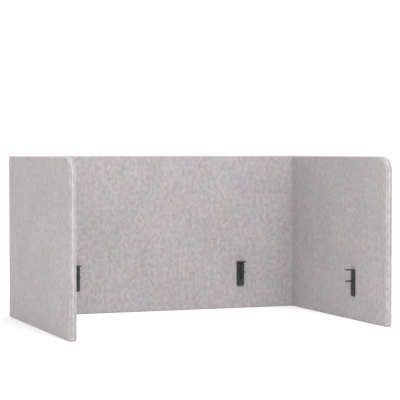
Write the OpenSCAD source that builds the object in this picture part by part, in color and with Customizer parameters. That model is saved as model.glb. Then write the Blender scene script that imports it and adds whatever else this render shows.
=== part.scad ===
// Three-sided desk privacy screen of moulded felt, hung from a desktop by four sliding-jaw clamps.
// Millimetres. X runs across the screen, +Y to its back and +Z up. The origin is the middle of the
// footprint, on the plane that the lower edges stand on.

/* [Screen] */
// Width over the outer faces of the two wings
screen_w = 1199; // [1000:1:1400]
// Depth from the back's outer face to the wings' front edges
screen_d = 827; // [600:1:900]
// Height of all three sections
screen_h = 610; // [450:1:700]
// Thickness of a section, which is two felt boards bonded together
section_t = 25.4; // [24:0.1:30]
// Radius of the long edges of a board
edge_r = 4; // [4:0.5:11.5]
// Radius of the wings' upper front corners
top_corner_r = 60; // [20:1:90]
// Radius of the wings' lower front corners
foot_corner_r = 8; // [2:1:20]

/* [Folds] */
// Thickness of the outer felt that carries on round the corner
fold_t = 3.7; // [2:0.1:3.9]
// Reach of that felt from the corner along each section
fold_leg = 12; // [10:0.5:16]
// Outside radius of the folded corner
fold_r = 8; // [5:0.5:9]
// Clearance between the two mitred faces at a corner
mitre_gap = 0.4; // [0.3:0.1:1]

/* [Clamps] */
// Distance of each back clamp from the middle of the back
back_clamp_x = 343; // [150:1:400]
// Distance of each wing clamp from the wing's front edge
wing_clamp_from_front = 255; // [120:1:400]
// Height of the clamp's top face
clamp_top_z = 188.5; // [160:0.5:260]
// Height of an upright
upright_h = 100.5; // [100.5:0.5:120]
// Width of the upright
clamp_w = 32; // [30:0.5:44]
// Width of the jaw
jaw_w = 25; // [22:0.5:30]
// Reach of both flanges from the felt
flange_reach = 30; // [28:0.5:50]
// Thickness of the steel
plate_t = 2.5; // [2.5:0.1:3.5]
// Outside radius of the bends
bend_r = 4; // [3.6:0.1:5]
// Thickness of the rubber pads
pad_t = 1; // [0.8:0.1:2]
// Widest desktop that the open clamp takes
desktop_max = 38.5; // [36:0.1:38.5]
// Travel of the jaw from wide open
jaw_travel = 25; // [15:0.5:25]

/* [Hidden] */
half_t = section_t / 2;
skim = 0.01;            // thickness of the slices that a rounded board is hulled from
past = 1;               // how far a cutting shape runs past what it cuts
edge_steps = 6;
corner_steps = 14;
foot_steps = 5;

seat_gap = 0.1;         // between plates that slide on each other
screw_r = 2.5;
clear_r = 2.75;         // clearance hole
slot_r = 2.95;          // half the slot's width, below its countersink
sink_gap = 0.3;         // between a lock screw's head and the slot's countersink
thread_r = 2.55;
lock_pitch = 14;
mount_pitch = 20;
slot_margin = 5.5;      // steel left below the slot
jaw_top_z = clamp_top_z - plate_t - pad_t - desktop_max - pad_t;
upright_foot_z = clamp_top_z - upright_h;
jaw_foot_z = upright_foot_z + 0.5;
slot_foot_z = jaw_foot_z + slot_margin;
slot_top_z = slot_foot_z + jaw_travel + lock_pitch + 2 * slot_r;
lock_high_z = slot_top_z - slot_r;
mount_high_z = clamp_top_z - 12.5;
jaw_back_y = plate_t + seat_gap;
jaw_front_y = jaw_back_y + plate_t;
socket_r = 1.75;
socket_deep = 1.5;
lock_tip_y = -4.5;
mount_tip_y = 0.5 - half_t;
sink_r = 4.9;           // countersunk head
sink_h = sink_r - screw_r;
clinch_r = 4;
clinch_h = 3.5;
clinch_collar_r = 3.2;
clinch_collar_h = 2;
collar_gap = 0.05;      // between the collar and its hole
tee_r = 9;
tee_t = 1.2;
tee_barrel_r = 3.2;
tee_barrel_h = 8;
pocket_gap = 0.2;       // felt around the nuts
pad_corner_r = 2.5;
pad_inset = 2;
foot_r = 5;             // lower corners of the upright and the jaw
tip_r = 3;              // corners at the tip of a flange

felt = "#b9b3b4";
fold_felt = "#aeabab";
black_steel = "#2c2c2e";
black_rubber = "#1c1c1d";
zinc = "#b4b7ba";

LOCK_Z = [lock_high_z, lock_high_z - lock_pitch];
MOUNT_Z = [mount_high_z, mount_high_z - mount_pitch];
wing_clamp_y = -screen_d / 2 + wing_clamp_from_front;
wing_face_x = screen_w / 2 - section_t;
back_face_y = screen_d / 2 - section_t;
// name, place on the inner face, turn about Z so that +Y points out of the felt
CLAMPS = [
    ["back_left_clamp", [-back_clamp_x, back_face_y], 180],
    ["back_right_clamp", [back_clamp_x, back_face_y], 180],
    ["left_wing_clamp", [-wing_face_x, wing_clamp_y], -90],
    ["right_wing_clamp", [wing_face_x, wing_clamp_y], 90],
];
FELT_NODES = [
    "back_inner_board", "back_outer_board",
    "left_inner_board", "left_outer_board",
    "right_inner_board", "right_outer_board",
    "left_fold_strip", "right_fold_strip",
];
CLAMP_PARTS = [
    "upright", "upper_pad", "jaw", "jaw_pad",
    "lock_screws", "clinch_nuts", "mount_screws", "tee_nuts",
];

$fn = 48;

// ---- outlines ----

function arc(centre, r, from, to, steps) =
    [for (i = [0:steps]) let (a = from + (to - from) * i / steps)
        [centre[0] + r * cos(a), centre[1] + r * sin(a)]];

// side view of a wing, (y, z), pulled in by inset all round except at the fold
function wing_outline(inset) =
    let (
        r_top = max(top_corner_r - inset, 0.5),
        r_foot = max(foot_corner_r - inset, 0.5),
        front = -screen_d / 2 + inset,
        top = screen_h - inset
    )
    concat(
        [[screen_d / 2, inset]],
        [[screen_d / 2, top]],
        arc([front + r_top, top - r_top], r_top, 90, 180, corner_steps),
        arc([front + r_foot, inset + r_foot], r_foot, 180, 270, foot_steps)
    );

// front view of the back, (x, z), pulled in at the top and the bottom only
function back_outline(inset) = [
    [-screen_w / 2, inset], [screen_w / 2, inset],
    [screen_w / 2, screen_h - inset], [-screen_w / 2, screen_h - inset],
];

// plan of the solid corner of the right fold, (x, y), pulled in from the two outer faces
function fold_outline(inset) =
    let (x = screen_w / 2 - inset, y = screen_d / 2 - inset)
    concat(
        [[screen_w / 2 - fold_leg, screen_d / 2 - fold_leg]],
        [[x, screen_d / 2 - fold_leg]],
        arc([x - fold_r, y - fold_r], fold_r, 0, 90, corner_steps),
        [[screen_w / 2 - fold_leg, y]]
    );

// ---- felt boards ----

// half of the right wing's thickness, from the bonded plane at x = 0 out to a face
module wing_half() {
    rotate([90, 0, 90]) hull() {
        linear_extrude(skim) polygon(wing_outline(0));
        for (i = [0:edge_steps]) let (a = 90 * i / edge_steps)
            translate([0, 0, half_t - edge_r * (1 - sin(a)) - skim])
                linear_extrude(skim) polygon(wing_outline(edge_r * (1 - cos(a))));
    }
}

// half of the back's thickness, from the bonded plane at y = 0 out towards -Y
module back_half() {
    rotate([90, 0, 0]) hull() {
        linear_extrude(skim) polygon(back_outline(0));
        for (i = [0:edge_steps]) let (a = 90 * i / edge_steps)
            translate([0, 0, half_t - edge_r * (1 - sin(a)) - skim])
                linear_extrude(skim) polygon(back_outline(edge_r * (1 - cos(a))));
    }
}

// what the mitre takes from one side of the right corner: side is 1 for the wing, -1 for the back
module mitre_cut(side) {
    far = section_t + past;
    shift = side * mitre_gap / 2;
    translate([screen_w / 2, screen_d / 2 - shift, -past])
        linear_extrude(screen_h + 2 * past)
            polygon([[past, past], [-far, -far], side > 0 ? [-far, past] : [past, -far]]);
}

// the recess in both outer boards for the right fold strip
module fold_recess() {
    deep = fold_t + pocket_gap;
    long = fold_leg + pocket_gap;
    for (size = [[deep, long], [long, deep]])
        translate([screen_w / 2 - size[0], screen_d / 2 - size[1], -past])
            cube([size[0] + past, size[1] + past, screen_h + 2 * past]);
}

module right_outer_board() {
    color(felt) difference() {
        translate([screen_w / 2 - half_t, 0, 0]) wing_half();
        mitre_cut(1);
        fold_recess();
    }
}

module right_inner_board(clamp) {
    color(felt) difference() {
        translate([screen_w / 2 - half_t, 0, 0]) mirror([1, 0, 0]) wing_half();
        mitre_cut(1);
        on_clamp(clamp) clamp_holes();
    }
}

module left_outer_board() {
    mirror([1, 0, 0]) right_outer_board();
}

module left_inner_board(clamp) {
    color(felt) difference() {
        mirror([1, 0, 0]) difference() {
            translate([screen_w / 2 - half_t, 0, 0]) mirror([1, 0, 0]) wing_half();
            mitre_cut(1);
        }
        on_clamp(clamp) clamp_holes();
    }
}

module back_outer_board() {
    color(felt) difference() {
        translate([0, screen_d / 2 - half_t, 0]) mirror([0, 1, 0]) back_half();
        for (side = [0, 1]) mirror([side, 0, 0]) {
            mitre_cut(-1);
            fold_recess();
        }
    }
}

module back_inner_board(clamps) {
    color(felt) difference() {
        translate([0, screen_d / 2 - half_t, 0]) back_half();
        for (side = [0, 1]) mirror([side, 0, 0]) mitre_cut(-1);
        for (clamp = clamps) on_clamp(clamp) clamp_holes();
    }
}

// thin felt round the right corner, rounded off at its ends as the boards are
module right_fold_strip() {
    last = 0.9 * acos(1 - fold_t / edge_r);
    steps = 4;
    inner = [screen_w / 2 - fold_t, screen_d / 2 - fold_t];
    color(fold_felt) difference() {
        hull() for (i = [0:steps]) let (a = last * i / steps, rise = edge_r * (1 - sin(a))) {
            translate([0, 0, rise])
                linear_extrude(skim) polygon(fold_outline(edge_r * (1 - cos(a))));
            translate([0, 0, screen_h - rise - skim])
                linear_extrude(skim) polygon(fold_outline(edge_r * (1 - cos(a))));
        }
        translate([inner[0] - fold_leg, inner[1] - fold_leg, -past])
            cube([fold_leg, fold_leg, screen_h + 2 * past]);
    }
}

module left_fold_strip() {
    mirror([1, 0, 0]) right_fold_strip();
}

// ---- clamp parts, in a clamp's own frame: x across, y out of the felt, z from the floor ----

module on_clamp(clamp) {
    translate([clamp[1][0], clamp[1][1], 0]) rotate([0, 0, clamp[2]]) children();
}

// a cylinder along y, from one y to another
module along_y(r, from, to) {
    translate([0, from, 0]) rotate([-90, 0, 0]) cylinder(r = r, h = to - from);
}

module at_heights(heights) {
    for (z = heights) translate([0, 0, z]) children();
}

// holes that one clamp needs in the inner board
module clamp_holes() {
    at_heights(MOUNT_Z) {
        along_y(tee_barrel_r + pocket_gap, -half_t - past, past);
        along_y(tee_r + pocket_gap, -half_t - past, -half_t + tee_t + pocket_gap);
    }
    at_heights(LOCK_Z) along_y(clinch_r + pocket_gap, lock_tip_y - pocket_gap, past);
}

// (y, z) section of a plate bent forward at its top; its top face is at z = 0
module bent_section(leg, reach) {
    inner_r = bend_r - plate_t;
    difference() {
        union() {
            translate([0, -leg]) square([plate_t, leg]);
            translate([0, -plate_t]) square([reach, plate_t]);
            translate([plate_t, -bend_r]) square(inner_r);
        }
        difference() {
            translate([-past, -bend_r]) square(bend_r + past);
            translate([bend_r, -bend_r]) circle(bend_r);
            translate([bend_r, -bend_r]) square(bend_r + past);
        }
        translate([bend_r, -bend_r]) circle(inner_r);
    }
}

// front view of a leg with its two lower corners rounded; z = 0 is the top
module leg_front(wide, leg) {
    w = wide / 2;
    translate([-w, -leg + foot_r]) square([wide, leg - foot_r]);
    translate([-w + foot_r, -leg]) square([wide - 2 * foot_r, foot_r]);
    for (x = [-w + foot_r, w - foot_r]) translate([x, -leg + foot_r]) circle(foot_r);
}

// plan of a flange with its two tip corners rounded
module flange_plan(wide, reach) {
    w = wide / 2;
    translate([-w, -past]) square([wide, reach + past - tip_r]);
    translate([-w + tip_r, -past]) square([wide - 2 * tip_r, reach + past]);
    for (x = [-w + tip_r, w - tip_r]) translate([x, reach - tip_r]) circle(tip_r);
}

// a bent plate with its back face at y = 0 and its top face at z = 0
module bent_plate(wide, leg, reach) {
    intersection() {
        translate([-wide / 2, 0, 0]) rotate([90, 0, 90])
            linear_extrude(wide) bent_section(leg, reach);
        translate([0, reach + past, 0]) rotate([90, 0, 0])
            linear_extrude(reach + 2 * past) leg_front(wide, leg);
        translate([0, 0, -leg - past])
            linear_extrude(leg + 2 * past) flange_plan(wide, reach);
    }
}

// the countersunk hole that a screw's head sits in, along y, its mouth on the face at mouth_y
module sink(r, gap, mouth_y) {
    translate([0, mouth_y - sink_h, 0]) rotate([-90, 0, 0])
        cylinder(r1 = r, r2 = r + sink_h + gap, h = sink_h + gap);
}

module upright() {
    color(black_steel) difference() {
        translate([0, 0, clamp_top_z]) bent_plate(clamp_w, upright_h, flange_reach);
        at_heights(MOUNT_Z) {
            along_y(clear_r, -past, plate_t + past);
            sink(clear_r, past, plate_t);
        }
        at_heights(LOCK_Z) {
            along_y(clear_r, -past, plate_t + past);
            along_y(clinch_collar_r + collar_gap, -past, clinch_collar_h + seat_gap);
        }
    }
}

// the slot is long enough for both lock screws and the jaw's whole travel, and countersunk all
// the way along, so that their heads stay flush at any setting
module jaw() {
    leg = jaw_top_z - jaw_foot_z;
    ends = [slot_foot_z + slot_r, slot_top_z - slot_r];
    color(black_steel) difference() {
        translate([0, jaw_back_y, jaw_top_z])
            bent_plate(jaw_w, leg, flange_reach - jaw_back_y);
        hull() at_heights(ends) along_y(slot_r, 0, jaw_front_y + past);
        hull() at_heights(ends) sink(screw_r + sink_gap, past, jaw_front_y);
    }
}

// a rubber pad on a flange, from y = back to just short of the tip, with its foot at z = 0
module pad(wide, back) {
    w = wide / 2 - pad_inset;
    front = flange_reach - pad_inset;
    r = pad_corner_r;
    color(black_rubber) linear_extrude(pad_t) {
        translate([-w + r, back]) square([2 * (w - r), front - back]);
        translate([-w, back + r]) square([2 * w, front - back - 2 * r]);
        for (x = [-w + r, w - r], y = [back + r, front - r]) translate([x, y]) circle(r);
    }
}

module upper_pad() {
    translate([0, 0, clamp_top_z - plate_t - pad_t]) pad(clamp_w, bend_r + pad_inset);
}

module jaw_pad() {
    translate([0, 0, jaw_top_z]) pad(jaw_w, jaw_back_y + bend_r + pad_inset);
}

module hex_socket(mouth_y) {
    translate([0, mouth_y - socket_deep, 0]) rotate([-90, 0, 0])
        cylinder(r = socket_r, h = socket_deep + past, $fn = 6);
}

// a countersunk screw from its tip to its flat head at head_y
module countersunk_screw(tip_y, head_y) {
    difference() {
        union() {
            along_y(screw_r, tip_y, head_y - sink_h + skim);
            sink(screw_r, 0, head_y);
        }
        hex_socket(head_y);
    }
}

module lock_screws() {
    color(black_steel) at_heights(LOCK_Z) countersunk_screw(lock_tip_y, jaw_front_y);
}

module clinch_nuts() {
    color(zinc) at_heights(LOCK_Z) difference() {
        union() {
            along_y(clinch_r, -clinch_h, 0);
            along_y(clinch_collar_r, -skim, clinch_collar_h);
        }
        along_y(thread_r, -clinch_h - past, clinch_collar_h + past);
    }
}

module mount_screws() {
    color(black_steel) at_heights(MOUNT_Z) countersunk_screw(mount_tip_y, plate_t);
}

module tee_nuts() {
    color(zinc) at_heights(MOUNT_Z) difference() {
        union() {
            along_y(tee_r, -half_t, -half_t + tee_t);
            along_y(tee_barrel_r, -half_t, -half_t + tee_t + tee_barrel_h);
        }
        along_y(thread_r, -half_t - past, 0);
    }
}

module clamp_part(part) {
    if (part == "upright") upright();
    if (part == "upper_pad") upper_pad();
    if (part == "jaw") jaw();
    if (part == "jaw_pad") jaw_pad();
    if (part == "lock_screws") lock_screws();
    if (part == "clinch_nuts") clinch_nuts();
    if (part == "mount_screws") mount_screws();
    if (part == "tee_nuts") tee_nuts();
}

back_inner_board([CLAMPS[0], CLAMPS[1]]);
back_outer_board();
left_inner_board(CLAMPS[2]);
left_outer_board();
right_inner_board(CLAMPS[3]);
right_outer_board();
left_fold_strip();
right_fold_strip();
for (c = CLAMPS) for (p = CLAMP_PARTS)
    on_clamp(c) clamp_part(p);
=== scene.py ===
"""Desk privacy screen: three sections of moulded felt, two felt folds and four black desk clamps.

Metres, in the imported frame: X across the screen, +Y to its back, Z up.
"""

import math

import bmesh
import bpy
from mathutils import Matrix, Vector


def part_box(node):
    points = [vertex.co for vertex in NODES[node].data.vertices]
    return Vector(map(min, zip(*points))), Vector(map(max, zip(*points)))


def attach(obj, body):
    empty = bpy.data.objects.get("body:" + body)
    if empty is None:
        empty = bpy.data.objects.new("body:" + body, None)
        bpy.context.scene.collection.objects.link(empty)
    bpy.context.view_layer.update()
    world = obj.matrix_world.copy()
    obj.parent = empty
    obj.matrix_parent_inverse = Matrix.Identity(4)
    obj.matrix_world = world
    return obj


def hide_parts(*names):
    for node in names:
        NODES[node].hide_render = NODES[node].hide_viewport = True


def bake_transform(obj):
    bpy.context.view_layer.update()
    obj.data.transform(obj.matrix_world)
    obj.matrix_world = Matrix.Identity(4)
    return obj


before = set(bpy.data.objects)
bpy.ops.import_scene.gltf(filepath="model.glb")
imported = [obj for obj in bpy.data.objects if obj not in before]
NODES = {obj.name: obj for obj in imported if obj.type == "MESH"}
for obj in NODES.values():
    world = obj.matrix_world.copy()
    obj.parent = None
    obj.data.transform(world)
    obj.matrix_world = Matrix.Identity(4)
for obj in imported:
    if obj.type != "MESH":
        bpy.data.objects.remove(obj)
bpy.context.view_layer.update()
MM = 0.001

# ---- sizes, from the frame where it has them ----

back_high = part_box("back_outer_board")[1]
inner_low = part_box("right_inner_board")[0]
outer_low, outer_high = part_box("right_outer_board")
HALF_W = outer_high.x                  # outer face of each wing, from the middle
BACK_Y = back_high.y                   # outer face of the back
FRONT_Y = outer_low.y
HEIGHT = outer_high.z
THICK = outer_high.x - inner_low.x
HALF_T = THICK / 2
WING_LEN = BACK_Y - FRONT_Y
strip_low, strip_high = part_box("right_fold_strip")
STRIP_LEG = strip_high.x - strip_low.x  # reach of the fold felt from the corner

EDGE_R = 4 * MM                        # long edges of a board
TOP_CORNER_R = 60 * MM
FOOT_CORNER_R = 8 * MM
LIP_W = 1.0 * MM                       # half the width of the pressed seam
LIP_PROUD = 0.5 * MM                   # how far the seam stands out past the boards' edges
CROWN = 0.35 * MM                      # swell of each board's edge between the seam and the arris
CROWN_W = HALF_T - EDGE_R - LIP_W      # from the seam to where the edge starts to round
CROWN_STEPS = 5
FOLD_T = 3.7 * MM                      # thickness of the fold felt
FOLD_R = 8 * MM                        # outer radius of the fold
FOLD_LEG_STEPS = 4
FOLD_BEND_STEPS = 20
FOLD_LEVELS = 60                       # rows up the straight part of the fold
FOLD_ROUNDED = 0.97                    # share of the fold's thickness that its rounded ends may lose
MITRE_GAP = 0.4 * MM
POCKET_GAP = 0.05 * MM                 # room between a board and the fold felt
SMALLEST_R = 0.5 * MM                  # an inset corner is never sharper than this
CUT_PAST = 5 * MM                      # how far a cutter runs past the felt in plan
CUT_PAST_ENDS = 20 * MM                # and past its foot and top
EDGE_STEPS = 8
CORNER_STEPS = 24
FOOT_STEPS = 7
FACE_SUPPORT = 0.6 * MM                # ring just inside the face's border
CELL = 10 * MM                         # spacing of the points along straight edges


# ---- meshes ----

def new_object(name, mesh):
    obj = bpy.data.objects.new(name, mesh)
    bpy.context.scene.collection.objects.link(obj)
    return obj


def shade(mesh, angle=30):
    for face in mesh.polygons:
        face.use_smooth = True
    mesh.set_sharp_from_angle(angle=math.radians(angle))


def finished_mesh(bm, name):
    """Turns a bmesh into a mesh with its faces outward, and frees it."""
    bmesh.ops.recalc_face_normals(bm, faces=bm.faces)
    mesh = bpy.data.meshes.new(name)
    bm.to_mesh(mesh)
    bm.free()
    return mesh


def arc(centre, r, start, end, steps):
    """Points on an arc, with its two ends in degrees."""
    return [
        (
            centre[0] + r * math.cos(math.radians(start + (end - start) * i / steps)),
            centre[1] + r * math.sin(math.radians(start + (end - start) * i / steps)),
        )
        for i in range(steps + 1)
    ]


def wing_ring(inset):
    """Outline of a wing in (along, up): along is 0 at the front edge and grows to the fold."""
    top_r = max(TOP_CORNER_R - inset, SMALLEST_R)
    foot_r = max(FOOT_CORNER_R - inset, SMALLEST_R)
    top = HEIGHT - inset
    upper = arc((inset + top_r, top - top_r), top_r, 90, 180, CORNER_STEPS)
    lower = arc((inset + foot_r, inset + foot_r), foot_r, 180, 270, FOOT_STEPS)
    ring = sampled((WING_LEN, inset), (WING_LEN, top), HEIGHT)
    ring += sampled((WING_LEN, top), upper[0], WING_LEN)
    ring += upper[:-1]
    ring += sampled(upper[-1], lower[0], HEIGHT)
    ring += lower[:-1]
    ring += sampled(lower[-1], (WING_LEN, inset), WING_LEN)
    return ring


def back_ring(inset):
    """Outline of the back in (along, up): along is 0 at the left corner."""
    low, high, end = inset, HEIGHT - inset, 2 * HALF_W
    ring = sampled((0, low), (end, low), end)
    ring += sampled((end, low), (end, high), HEIGHT)
    ring += sampled((end, high), (0, high), end)
    ring += sampled((0, high), (0, low), HEIGHT)
    return ring


def sampled(a, b, nominal):
    """A straight run with a count of points that doesn't depend on the inset."""
    count = max(1, round(nominal / CELL))
    return [tuple(Vector(a).lerp(Vector(b), i / count)) for i in range(count)]


def board_profile():
    """(inset, depth) from the bonded plane out to the face: a seam lip, then the rounded edge."""
    lip = [(0, 0), (0, LIP_W * 0.55), (LIP_PROUD * 0.35, LIP_W * 0.85), (LIP_PROUD, LIP_W)]
    crown = [
        (LIP_PROUD - CROWN * math.sin(math.pi * i / CROWN_STEPS), LIP_W + CROWN_W * i / CROWN_STEPS)
        for i in range(1, CROWN_STEPS)
    ]
    run = EDGE_R - LIP_PROUD
    edge = [
        (
            LIP_PROUD + run * (1 - math.cos(math.pi / 2 * i / EDGE_STEPS)),
            HALF_T - EDGE_R * (1 - math.sin(math.pi / 2 * i / EDGE_STEPS)),
        )
        for i in range(EDGE_STEPS + 1)
    ]
    return lip + crown + edge + [(EDGE_R + FACE_SUPPORT, HALF_T)]


def board_mesh(name, ring_at, place):
    """A closed board: rings of points from the bonded plane to the face. place turns (along, up, depth)
    into a point of the row frame."""
    bm = bmesh.new()
    rings = []
    for inset, depth in board_profile():
        rings.append([bm.verts.new(place(a, z, depth)) for a, z in ring_at(inset)])
    count = len(rings[0])
    for lower, upper in zip(rings, rings[1:]):
        for i in range(count):
            j = (i + 1) % count
            bm.faces.new((lower[i], lower[j], upper[j], upper[i]))
    bm.faces.new(list(reversed(rings[0])))
    bm.faces.new(rings[-1])
    return finished_mesh(bm, name)


def prism(name, plan, low, high):
    """A closed upright prism on a plan outline of (x, y) points."""
    bm = bmesh.new()
    foot = [bm.verts.new((x, y, low)) for x, y in plan]
    head = [bm.verts.new((x, y, high)) for x, y in plan]
    bm.faces.new(foot)
    bm.faces.new(list(reversed(head)))
    for i in range(len(plan)):
        j = (i + 1) % len(plan)
        bm.faces.new((foot[i], head[i], head[j], foot[j]))
    return new_object(name, finished_mesh(bm, name))


def cut(obj, cutters):
    """Takes the cutters' shapes out of obj for good, and removes the cutters."""
    for cutter in cutters:
        modifier = obj.modifiers.new("cut", "BOOLEAN")
        modifier.operation = "DIFFERENCE"
        modifier.solver = "EXACT"
        modifier.object = cutter
    bpy.context.view_layer.update()
    depsgraph = bpy.context.evaluated_depsgraph_get()
    mesh = bpy.data.meshes.new_from_object(obj.evaluated_get(depsgraph))
    obj.modifiers.clear()
    old = obj.data
    obj.data = mesh
    bpy.data.meshes.remove(old)
    for cutter in cutters:
        bpy.data.objects.remove(cutter)


def corner_plan(side, points):
    """Plan points given from the right outside corner, moved there or mirrored to the left one."""
    return [(side * (HALF_W - x), BACK_Y - y) for x, y in points]


def mitre_plan(is_wing, outer):
    """What an end of a board loses at the corner, as distances in from the two outer faces (x, y)."""
    far = THICK + CUT_PAST
    g = MITRE_GAP / 2
    out = -CUT_PAST
    deep = FOLD_T + POCKET_GAP
    leg = STRIP_LEG + POCKET_GAP
    if not outer:
        plan = [(out, out + g), (far, far + g), (far, out)]
    else:
        plan = [(out, leg), (deep, leg), (deep, deep + g), (far, far + g), (far, out), (out, out)]
    return plan if is_wing else [(y, x) for x, y in plan]


def cutter(side, is_wing, outer):
    plan = corner_plan(side, mitre_plan(is_wing, outer))
    return prism("cutter", plan, -CUT_PAST_ENDS, HEIGHT + CUT_PAST_ENDS)


def add_felt_coordinates(mesh, felt_of):
    """Stores where each point lies on the unrolled felt: along the screen, up it, and through it."""
    layer = mesh.attributes.new("felt", "FLOAT_VECTOR", "POINT")
    for i, vertex in enumerate(mesh.vertices):
        layer.data[i].vector = felt_of(vertex.co)


def side_word(side):
    return "left" if side < 0 else "right"


def wing_felt(side):
    """Felt coordinates on a wing, running on from the back round the corner."""
    def of(co):
        along = HALF_W + (BACK_Y - co.y) - FOLD_R * (2 - math.pi / 2)
        return (side * along, co.z, abs(co.x) - (HALF_W - HALF_T))
    return of


def back_felt(co):
    return (co.x, co.z, co.y - (BACK_Y - HALF_T))


def make_wing_board(side, outer):
    """side is 1 for the right wing and -1 for the left one."""
    word = side_word(side) + ("_outer" if outer else "_inner")
    middle = HALF_W - HALF_T
    depth_sign = 1 if outer else -1

    def place(along, up, depth):
        return (side * (middle + depth_sign * depth), FRONT_Y + along, up)

    obj = new_object(word + "_felt", board_mesh(word + "_felt", wing_ring, place))
    cut(obj, [cutter(side, True, outer)])
    finish_felt(obj, wing_felt(side), side_word(side) + "_section")
    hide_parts(word + "_board")


def make_back_board(outer):
    word = "back_outer" if outer else "back_inner"
    middle = BACK_Y - HALF_T
    depth_sign = 1 if outer else -1

    def place(along, up, depth):
        return (along - HALF_W, middle + depth_sign * depth, up)

    obj = new_object(word + "_felt", board_mesh(word + "_felt", back_ring, place))
    cut(obj, [cutter(1, False, outer), cutter(-1, False, outer)])
    finish_felt(obj, back_felt, "back_section")
    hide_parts(word + "_board")


def finish_felt(obj, felt_of, body):
    shade(obj.data)
    add_felt_coordinates(obj.data, felt_of)
    obj.data.materials.clear()
    obj.data.materials.append(FELT)
    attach(obj, body)


# ---- the folds ----

def strip_path():
    """Plan of the fold's outer face, as (in from the wing's face, in from the back's face), distance
    along it and outward normal, from the wing's end to the back's end."""
    straight = STRIP_LEG - FOLD_R
    bend = FOLD_R * math.pi / 2
    points = []
    for i in range(FOLD_LEG_STEPS):
        t = straight * i / FOLD_LEG_STEPS
        points.append(((0, STRIP_LEG - t), t, (1, 0)))
    for i in range(FOLD_BEND_STEPS + 1):
        a = math.pi / 2 * i / FOLD_BEND_STEPS
        at = (FOLD_R - FOLD_R * math.cos(a), FOLD_R - FOLD_R * math.sin(a))
        points.append((at, straight + FOLD_R * a, (math.cos(a), math.sin(a))))
    for i in range(1, FOLD_LEG_STEPS + 1):
        t = straight * i / FOLD_LEG_STEPS
        points.append(((FOLD_R + t, 0), straight + bend + t, (0, 1)))
    return points


def strip_levels():
    """(height, how far the outer face sits in) up the fold, which is rounded off as the boards are."""
    edge = board_profile()[3:-1]
    sunk_edge = [(inset, HALF_T - depth) for inset, depth in edge]
    rounded = sorted(pair for pair in sunk_edge if pair[1] < FOLD_T * FOLD_ROUNDED)
    low = EDGE_R + FACE_SUPPORT
    straight = HEIGHT - 2 * low
    levels = list(rounded)
    levels += [(low + straight * i / FOLD_LEVELS, 0) for i in range(FOLD_LEVELS + 1)]
    levels += [(HEIGHT - z, sunk) for z, sunk in reversed(rounded)]
    return levels


def strip_rows():
    """Rows of (x in, y in, height, distance along) up the fold's outer and inner faces. The inner
    corner is square, so its points are spread evenly along both legs."""
    path = strip_path()
    half = len(path) // 2
    outer = []
    inner = []
    for z, sunk in strip_levels():
        outer.append([(px + nx * sunk, py + ny * sunk, z, t) for (px, py), t, (nx, ny) in path])
        row = []
        for i, (_, t, _) in enumerate(path):
            reach = FOLD_T + (STRIP_LEG - FOLD_T) * abs(i - half) / half
            at = (FOLD_T, reach) if i <= half else (reach, FOLD_T)
            row.append((*at, z, t))
        inner.append(row)
    return outer, inner


def strip_mesh(name, side):
    """The closed fold, and each of its points as (distance along, height, depth) in the felt."""
    bm = bmesh.new()
    felt = []

    def vertex(point, deep):
        px, py, z, t = point
        felt.append((t, z, deep))
        return bm.verts.new((side * (HALF_W - px), BACK_Y - py, z))

    outer, inner = strip_rows()
    grid_out = [[vertex(p, HALF_T) for p in row] for row in outer]
    grid_in = [[vertex(p, HALF_T - FOLD_T) for p in row] for row in inner]
    rows, cols = len(outer), len(outer[0])
    for grid in (grid_out, grid_in):
        for r in range(rows - 1):
            for c in range(cols - 1):
                bm.faces.new((grid[r][c], grid[r][c + 1], grid[r + 1][c + 1], grid[r + 1][c]))
    for c in range(cols - 1):
        for r in (0, rows - 1):
            bm.faces.new((grid_out[r][c], grid_out[r][c + 1], grid_in[r][c + 1], grid_in[r][c]))
    for r in range(rows - 1):
        for c in (0, cols - 1):
            bm.faces.new((grid_out[r][c], grid_out[r + 1][c], grid_in[r + 1][c], grid_in[r][c]))
    return finished_mesh(bm, name), felt


def make_strip(side):
    """The felt that runs round one corner, which on the screen bends as its wing folds; here it is one
    fixed mesh.
    """
    word = side_word(side)
    mesh, felt = strip_mesh(word + "_fold_felt", side)
    shade(mesh)
    wing_end = HALF_W + STRIP_LEG - FOLD_R * (2 - math.pi / 2)
    layer = mesh.attributes.new("felt", "FLOAT_VECTOR", "POINT")
    for i, (t, z, deep) in enumerate(felt):
        layer.data[i].vector = (side * (wing_end - t), z, deep)
    mesh.materials.append(FELT)
    obj = new_object(word + "_fold_felt", mesh)
    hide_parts(word + "_fold_strip")
    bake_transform(obj)


# ---- materials ----

def new_material(name):
    material = bpy.data.materials.new(name)
    material.use_nodes = True
    tree = material.node_tree
    tree.nodes.clear()
    output = tree.nodes.new("ShaderNodeOutputMaterial")
    shader = tree.nodes.new("ShaderNodeBsdfPrincipled")
    tree.links.new(shader.outputs["BSDF"], output.inputs["Surface"])
    return material, tree, shader


def add_node(tree, kind, **settings):
    node = tree.nodes.new(kind)
    for key, value in settings.items():
        setattr(node, key, value)
    return node


def plug(tree, value, socket):
    """Joins an output to a socket, or sets the socket if value is a plain number or tuple."""
    if isinstance(value, bpy.types.NodeSocket):
        tree.links.new(value, socket)
    else:
        socket.default_value = value


def scaled(tree, vector, scale, turn=0.0):
    node = add_node(tree, "ShaderNodeMapping")
    plug(tree, vector, node.inputs["Vector"])
    node.inputs["Scale"].default_value = scale
    node.inputs["Rotation"].default_value = (0, 0, turn)
    return node.outputs["Vector"]


def noise(tree, vector, scale, detail=2.0, rough=0.5):
    node = add_node(tree, "ShaderNodeTexNoise")
    plug(tree, vector, node.inputs["Vector"])
    node.inputs["Scale"].default_value = scale
    node.inputs["Detail"].default_value = detail
    node.inputs["Roughness"].default_value = rough
    return node.outputs["Fac"]


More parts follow.
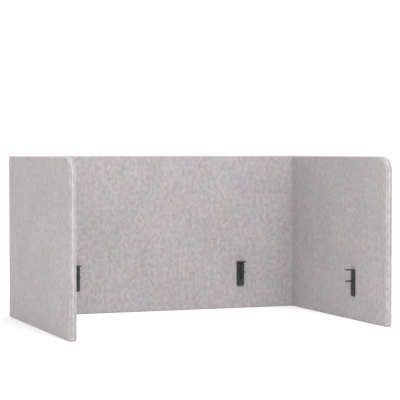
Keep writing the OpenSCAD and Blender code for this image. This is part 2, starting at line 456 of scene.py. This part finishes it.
def math_node(tree, operation, a, b=0.0):
    node = add_node(tree, "ShaderNodeMath", operation=operation)
    plug(tree, a, node.inputs[0])
    plug(tree, b, node.inputs[1])
    return node.outputs[0]


def span(tree, value, low, high, to_low=0.0, to_high=1.0):
    """Moves low..high to to_low..to_high, clamped and eased at both ends."""
    node = add_node(tree, "ShaderNodeMapRange", interpolation_type="SMOOTHSTEP")
    plug(tree, value, node.inputs["Value"])
    node.inputs["From Min"].default_value = low
    node.inputs["From Max"].default_value = high
    node.inputs["To Min"].default_value = to_low
    node.inputs["To Max"].default_value = to_high
    return node.outputs["Result"]


def varied(tree, value, spread):
    """A factor around 1 from a noise's middle range, up to spread away from it."""
    return span(tree, value, NOISE_LOW, NOISE_HIGH, 1 - spread, 1 + spread)


def mixed(tree, share, a, b):
    node = add_node(tree, "ShaderNodeMix", data_type="RGBA", clamp_factor=True)
    plug(tree, share, node.inputs["Factor"])
    plug(tree, a, node.inputs["A"])
    plug(tree, b, node.inputs["B"])
    return node.outputs["Result"]


def scaled_colour(tree, colour, factor):
    node = add_node(tree, "ShaderNodeVectorMath", operation="SCALE")
    plug(tree, colour, node.inputs[0])
    plug(tree, factor, node.inputs["Scale"])
    return node.outputs["Vector"]


FELT_WARM = (0.353, 0.321, 0.314, 1)
FELT_COOL = (0.332, 0.316, 0.339, 1)
FELT_ROSE = (0.355, 0.316, 0.330, 1)
FELT_SAGE = (0.328, 0.322, 0.321, 1)
SEAM_HIGHLIGHT_GAIN = 1.75                       # painted highlight: how much paler the pressed seam is painted, as where it catches the light
EDGE_SHADE_GAIN = 0.93                       # painted shade: how much darker the rounded edges are painted
NOISE_LOW = 0.3                        # most of a noise lies between these two
NOISE_HIGH = 0.7
HUE_LOW = 0.36
HUE_HIGH = 0.64
HUE_SCALES = (9, 14)                   # all scales are in features per metre
HUE_TURN = 0.7
FIBRE_SCALE = 620
FIBRE_STRETCH = (1, 0.16, 1)
FIBRE_TURNS = ((0.2, 0), (1.3, 3), (2.3, 7))  # radians, and what is added to the scale
BLOTCH_SCALE = 75
BLOTCH_STRETCH = (1, 0.7, 1)
STREAK_SCALE = 110
STREAK_STRETCH = (1, 0.12, 1)
CLOUD_SCALE = 5
PILE_SCALE = 160


def make_felt():
    """Heathered felt board: short fibres lying every way, soft blotches, faint drifts of hue."""
    material, tree, shader = new_material("felt_board")
    felt = add_node(tree, "ShaderNodeAttribute", attribute_name="felt").outputs["Vector"]
    # hue drifts
    turned = scaled(tree, felt, (1, 1, 1), HUE_TURN)
    warm_cool = span(tree, noise(tree, felt, HUE_SCALES[0], 3, 0.55), HUE_LOW, HUE_HIGH)
    rose_sage = span(tree, noise(tree, turned, HUE_SCALES[1], 3, 0.55), HUE_LOW, HUE_HIGH)
    base_a = mixed(tree, warm_cool, FELT_WARM, FELT_COOL)
    base_b = mixed(tree, rose_sage, FELT_ROSE, FELT_SAGE)
    base = mixed(tree, 0.5, base_a, base_b)
    # light and dark fibres in three directions
    fibres = None
    for turn, more in FIBRE_TURNS:
        along = scaled(tree, felt, FIBRE_STRETCH, turn)
        strand = noise(tree, along, FIBRE_SCALE + more, 1, 0.5)
        fibres = strand if fibres is None else math_node(tree, "ADD", fibres, strand)
    fibre_tone = span(tree, fibres, 1.25, 1.75, 0.92, 1.08)
    blotches = scaled(tree, felt, BLOTCH_STRETCH)
    blotch = varied(tree, noise(tree, blotches, BLOTCH_SCALE, 2, 0.5), 0.09)
    streaks = scaled(tree, felt, STREAK_STRETCH)
    streak = varied(tree, noise(tree, streaks, STREAK_SCALE, 2, 0.5), 0.035)
    cloud = varied(tree, noise(tree, felt, CLOUD_SCALE, 2, 0.5), 0.03)
    tone = math_node(tree, "MULTIPLY", fibre_tone, blotch)
    tone = math_node(tree, "MULTIPLY", tone, streak)
    tone = math_node(tree, "MULTIPLY", tone, cloud)
    # painted highlight: the pressed seam along the middle of every edge is painted paler
    through = add_node(tree, "ShaderNodeSeparateXYZ")
    plug(tree, felt, through.inputs[0])
    depth = math_node(tree, "ABSOLUTE", through.outputs["Z"])
    seam = span(tree, depth, LIP_W * 0.7, LIP_W * 1.3, SEAM_HIGHLIGHT_GAIN, 1.0)
    tone = math_node(tree, "MULTIPLY", tone, seam)
    # painted shade: the edges, from the seam out to where the face rounds off, are painted darker
    edge = span(tree, depth, HALF_T - EDGE_R, HALF_T - EDGE_R * 0.2, EDGE_SHADE_GAIN, 1.0)
    tone = math_node(tree, "MULTIPLY", tone, edge)
    plug(tree, scaled_colour(tree, base, tone), shader.inputs["Base Color"])
    shader.inputs["Roughness"].default_value = 0.92
    shader.inputs["Specular IOR Level"].default_value = 0.25
    shader.inputs["Sheen Weight"].default_value = 0.12
    shader.inputs["Sheen Roughness"].default_value = 0.6
    pile = noise(tree, felt, PILE_SCALE, 3, 0.6)
    relief = math_node(tree, "ADD", math_node(tree, "MULTIPLY", fibres, 0.6), pile)
    bump = add_node(tree, "ShaderNodeBump")
    bump.inputs["Strength"].default_value = 0.35
    bump.inputs["Distance"].default_value = 0.5 * MM
    plug(tree, relief, bump.inputs["Height"])
    plug(tree, bump.outputs["Normal"], shader.inputs["Normal"])
    return material


ROUGH_SPREAD = 0.07


def make_clamp_finish(name, dark, light, metallic, rough, grain, relief):
    """Coated metal, plated metal or rubber, finely mottled in colour, roughness and relief. dark and
    light are greys as (red, green, blue), grain is in features per metre and relief in metres."""
    dark, light = (*dark, 1), (*light, 1)
    material, tree, shader = new_material(name)
    where = add_node(tree, "ShaderNodeTexCoord").outputs["Object"]
    mottle = noise(tree, where, grain, 3, 0.6)
    drift = noise(tree, where, grain * 0.06, 2, 0.5)
    fine = math_node(tree, "MULTIPLY", mottle, 0.6)
    share = math_node(tree, "ADD", fine, math_node(tree, "MULTIPLY", drift, 0.4))
    colour = mixed(tree, span(tree, share, NOISE_LOW, NOISE_HIGH), dark, light)
    plug(tree, colour, shader.inputs["Base Color"])
    low, high = rough - ROUGH_SPREAD, rough + ROUGH_SPREAD
    plug(tree, span(tree, mottle, NOISE_LOW, NOISE_HIGH, low, high), shader.inputs["Roughness"])
    shader.inputs["Metallic"].default_value = metallic
    bump = add_node(tree, "ShaderNodeBump")
    bump.inputs["Strength"].default_value = 0.3
    bump.inputs["Distance"].default_value = relief
    plug(tree, mottle, bump.inputs["Height"])
    plug(tree, bump.outputs["Normal"], shader.inputs["Normal"])
    return material


FELT = make_felt()
POWDER = make_clamp_finish(
    "black_powder_coat", (0.020, 0.020, 0.021), (0.034, 0.034, 0.036), 0, 0.5, 1400, 0.06 * MM
)
OXIDE = make_clamp_finish(
    "black_oxide_screw", (0.016, 0.016, 0.017), (0.035, 0.034, 0.034), 0.6, 0.38, 2500, 0.02 * MM
)
ZINC = make_clamp_finish(
    "zinc_plate", (0.42, 0.43, 0.44), (0.60, 0.61, 0.62), 0.95, 0.34, 900, 0.02 * MM
)
RUBBER = make_clamp_finish(
    "black_rubber", (0.012, 0.012, 0.012), (0.022, 0.022, 0.022), 0, 0.85, 2200, 0.05 * MM
)

CLAMP_FINISH = {
    "upright": POWDER,
    "jaw": POWDER,
    "upper_pad": RUBBER,
    "jaw_pad": RUBBER,
    "lock_screws": OXIDE,
    "mount_screws": OXIDE,
    "clinch_nuts": ZINC,
    "tee_nuts": ZINC,
}


def finish_clamps():
    """Gives every clamp part its finish, and softens the steel plates."""
    for name, obj in NODES.items():
        for part, material in CLAMP_FINISH.items():
            if name.endswith("_clamp_" + part):
                obj.data.materials.clear()
                obj.data.materials.append(material)
                if part in ("upright", "jaw"):
                    soften_edges(obj)


WELD_WITHIN = 0.005 * MM
PLATE_BEVEL = 0.25 * MM
BEVEL_ABOVE = 40                       # degrees


def soften_edges(obj):
    """Takes the knife edge off a steel plate."""
    weld = obj.modifiers.new("weld", "WELD")
    weld.merge_threshold = WELD_WITHIN
    bevel = obj.modifiers.new("bevel", "BEVEL")
    bevel.width = PLATE_BEVEL
    bevel.segments = 2
    bevel.limit_method = "ANGLE"
    bevel.angle_limit = math.radians(BEVEL_ABOVE)


# ---- camera, floor and lights ----

CAMERA_AT = (-1.9825, -5.219, 0.633)
CAMERA_YAW = 21.0                      # degrees right of +Y
CAMERA_PITCH = 1.885                   # degrees down
CAMERA_LENS = 136.2                    # in millimetres, on a 36 mm sensor
FLOOR_REACH = 30
FLOOR_DROP = 0.5 * MM                  # the floor lies this far under the felt's foot
FLOOR_GLOW = 0.12
WORLD_STRENGTH = 1.03
LIGHTS = (                             # name, place, aimed at, size, watts
    ("front_soft", (0.2, -2.2, 2.9), (0, 0.3, 0.5), (2.0, 1.4), 70),
    ("corner_fill", (-0.5, -1.2, 1.5), (0.55, 0.4, 0.35), (0.9, 0.7), 3.5),
    ("low_left", (-3.0, -0.5, 0.35), (-0.6, 0, 0.1), (1.6, 0.6), 5),
)


def make_camera():
    data = bpy.data.cameras.new("camera")
    data.sensor_width = 36
    data.lens = CAMERA_LENS
    data.clip_end = 100
    camera = bpy.data.objects.new("camera", data)
    bpy.context.scene.collection.objects.link(camera)
    yaw, pitch = math.radians(CAMERA_YAW), math.radians(CAMERA_PITCH)
    camera.location = CAMERA_AT
    camera.rotation_euler = (math.pi / 2 - pitch, 0, -yaw)
    bpy.context.scene.camera = camera


def make_floor():
    r = FLOOR_REACH
    mesh = bpy.data.meshes.new("floor")
    mesh.from_pydata([(-r, -r, 0), (r, -r, 0), (r, r, 0), (-r, r, 0)], [], [(0, 1, 2, 3)])
    floor = new_object("floor", mesh)
    floor.location.z = -FLOOR_DROP
    material, tree, shader = new_material("pale_floor")
    where = add_node(tree, "ShaderNodeTexCoord").outputs["Object"]
    faint = noise(tree, where, 3, 2, 0.5)
    pale = mixed(tree, faint, (0.93, 0.93, 0.93, 1), (0.95, 0.95, 0.95, 1))
    plug(tree, pale, shader.inputs["Base Color"])
    shader.inputs["Roughness"].default_value = 0.9
    shader.inputs["Specular IOR Level"].default_value = 0.1
    shader.inputs["Emission Color"].default_value = (1, 1, 1, 1)
    shader.inputs["Emission Strength"].default_value = FLOOR_GLOW
    mesh.materials.append(material)


def make_world(strength):
    world = bpy.data.worlds.new("studio")
    world.use_nodes = True
    background = world.node_tree.nodes["Background"]
    background.inputs["Color"].default_value = (1, 1, 1, 1)
    background.inputs["Strength"].default_value = strength
    bpy.context.scene.world = world


def make_area(name, place, target, size, power):
    data = bpy.data.lights.new(name, "AREA")
    data.shape = "RECTANGLE"
    data.size, data.size_y = size
    data.energy = power
    light = bpy.data.objects.new(name, data)
    bpy.context.scene.collection.objects.link(light)
    light.location = place
    light.rotation_euler = (Vector(target) - Vector(place)).to_track_quat("-Z", "Y").to_euler()


make_camera()
for wing_side in (-1, 1):
    for is_outer in (False, True):
        make_wing_board(wing_side, is_outer)
    make_strip(wing_side)
for is_outer in (False, True):
    make_back_board(is_outer)
finish_clamps()
make_floor()
make_world(WORLD_STRENGTH)
for light in LIGHTS:
    make_area(*light)
bpy.context.scene.view_settings.view_transform = "Standard"
